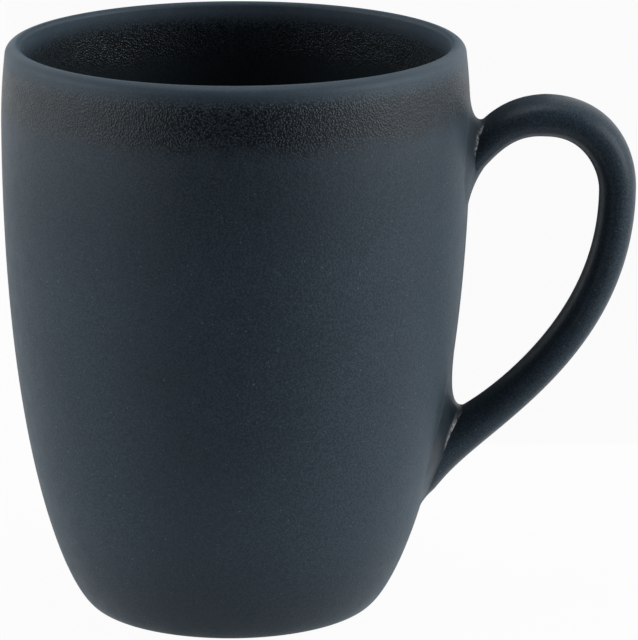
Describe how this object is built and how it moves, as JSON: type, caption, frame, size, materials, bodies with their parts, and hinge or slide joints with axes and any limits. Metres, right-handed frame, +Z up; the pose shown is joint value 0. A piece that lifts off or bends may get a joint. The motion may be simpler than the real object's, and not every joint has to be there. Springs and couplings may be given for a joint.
{
  "type": "ceramic mug",
  "caption": "Round-bellied ceramic mug with a rounded lip, a narrow foot ring and an oval loop handle luted on with filleted slip joints, in matt slate glaze.",
  "frame": {"origin": "on the table, under the middle of the mug's box; the axis of the body stands 15.2 mm to the -X side of it", "axes": "+X from the body towards the handle, +Y across the handle away from the viewer, +Z up"},
  "size_m": [0.1154, 0.085, 0.1046],
  "materials": {
    "body_glaze": "matt slate-blue glaze with a fine grain, pebbled and glossier under the lip and inside",
    "handle_glaze": "matt slate-blue glaze with a fine grain",
    "joint_glaze": "matt slate-blue glaze, thin and paler along the seam with the handle"
  },
  "bodies": {
    "root": {"mug_body": "body_glaze", "handle": "handle_glaze", "upper_slip_joint": "joint_glaze", "lower_slip_joint": "joint_glaze"}
  },
  "joints": []
}
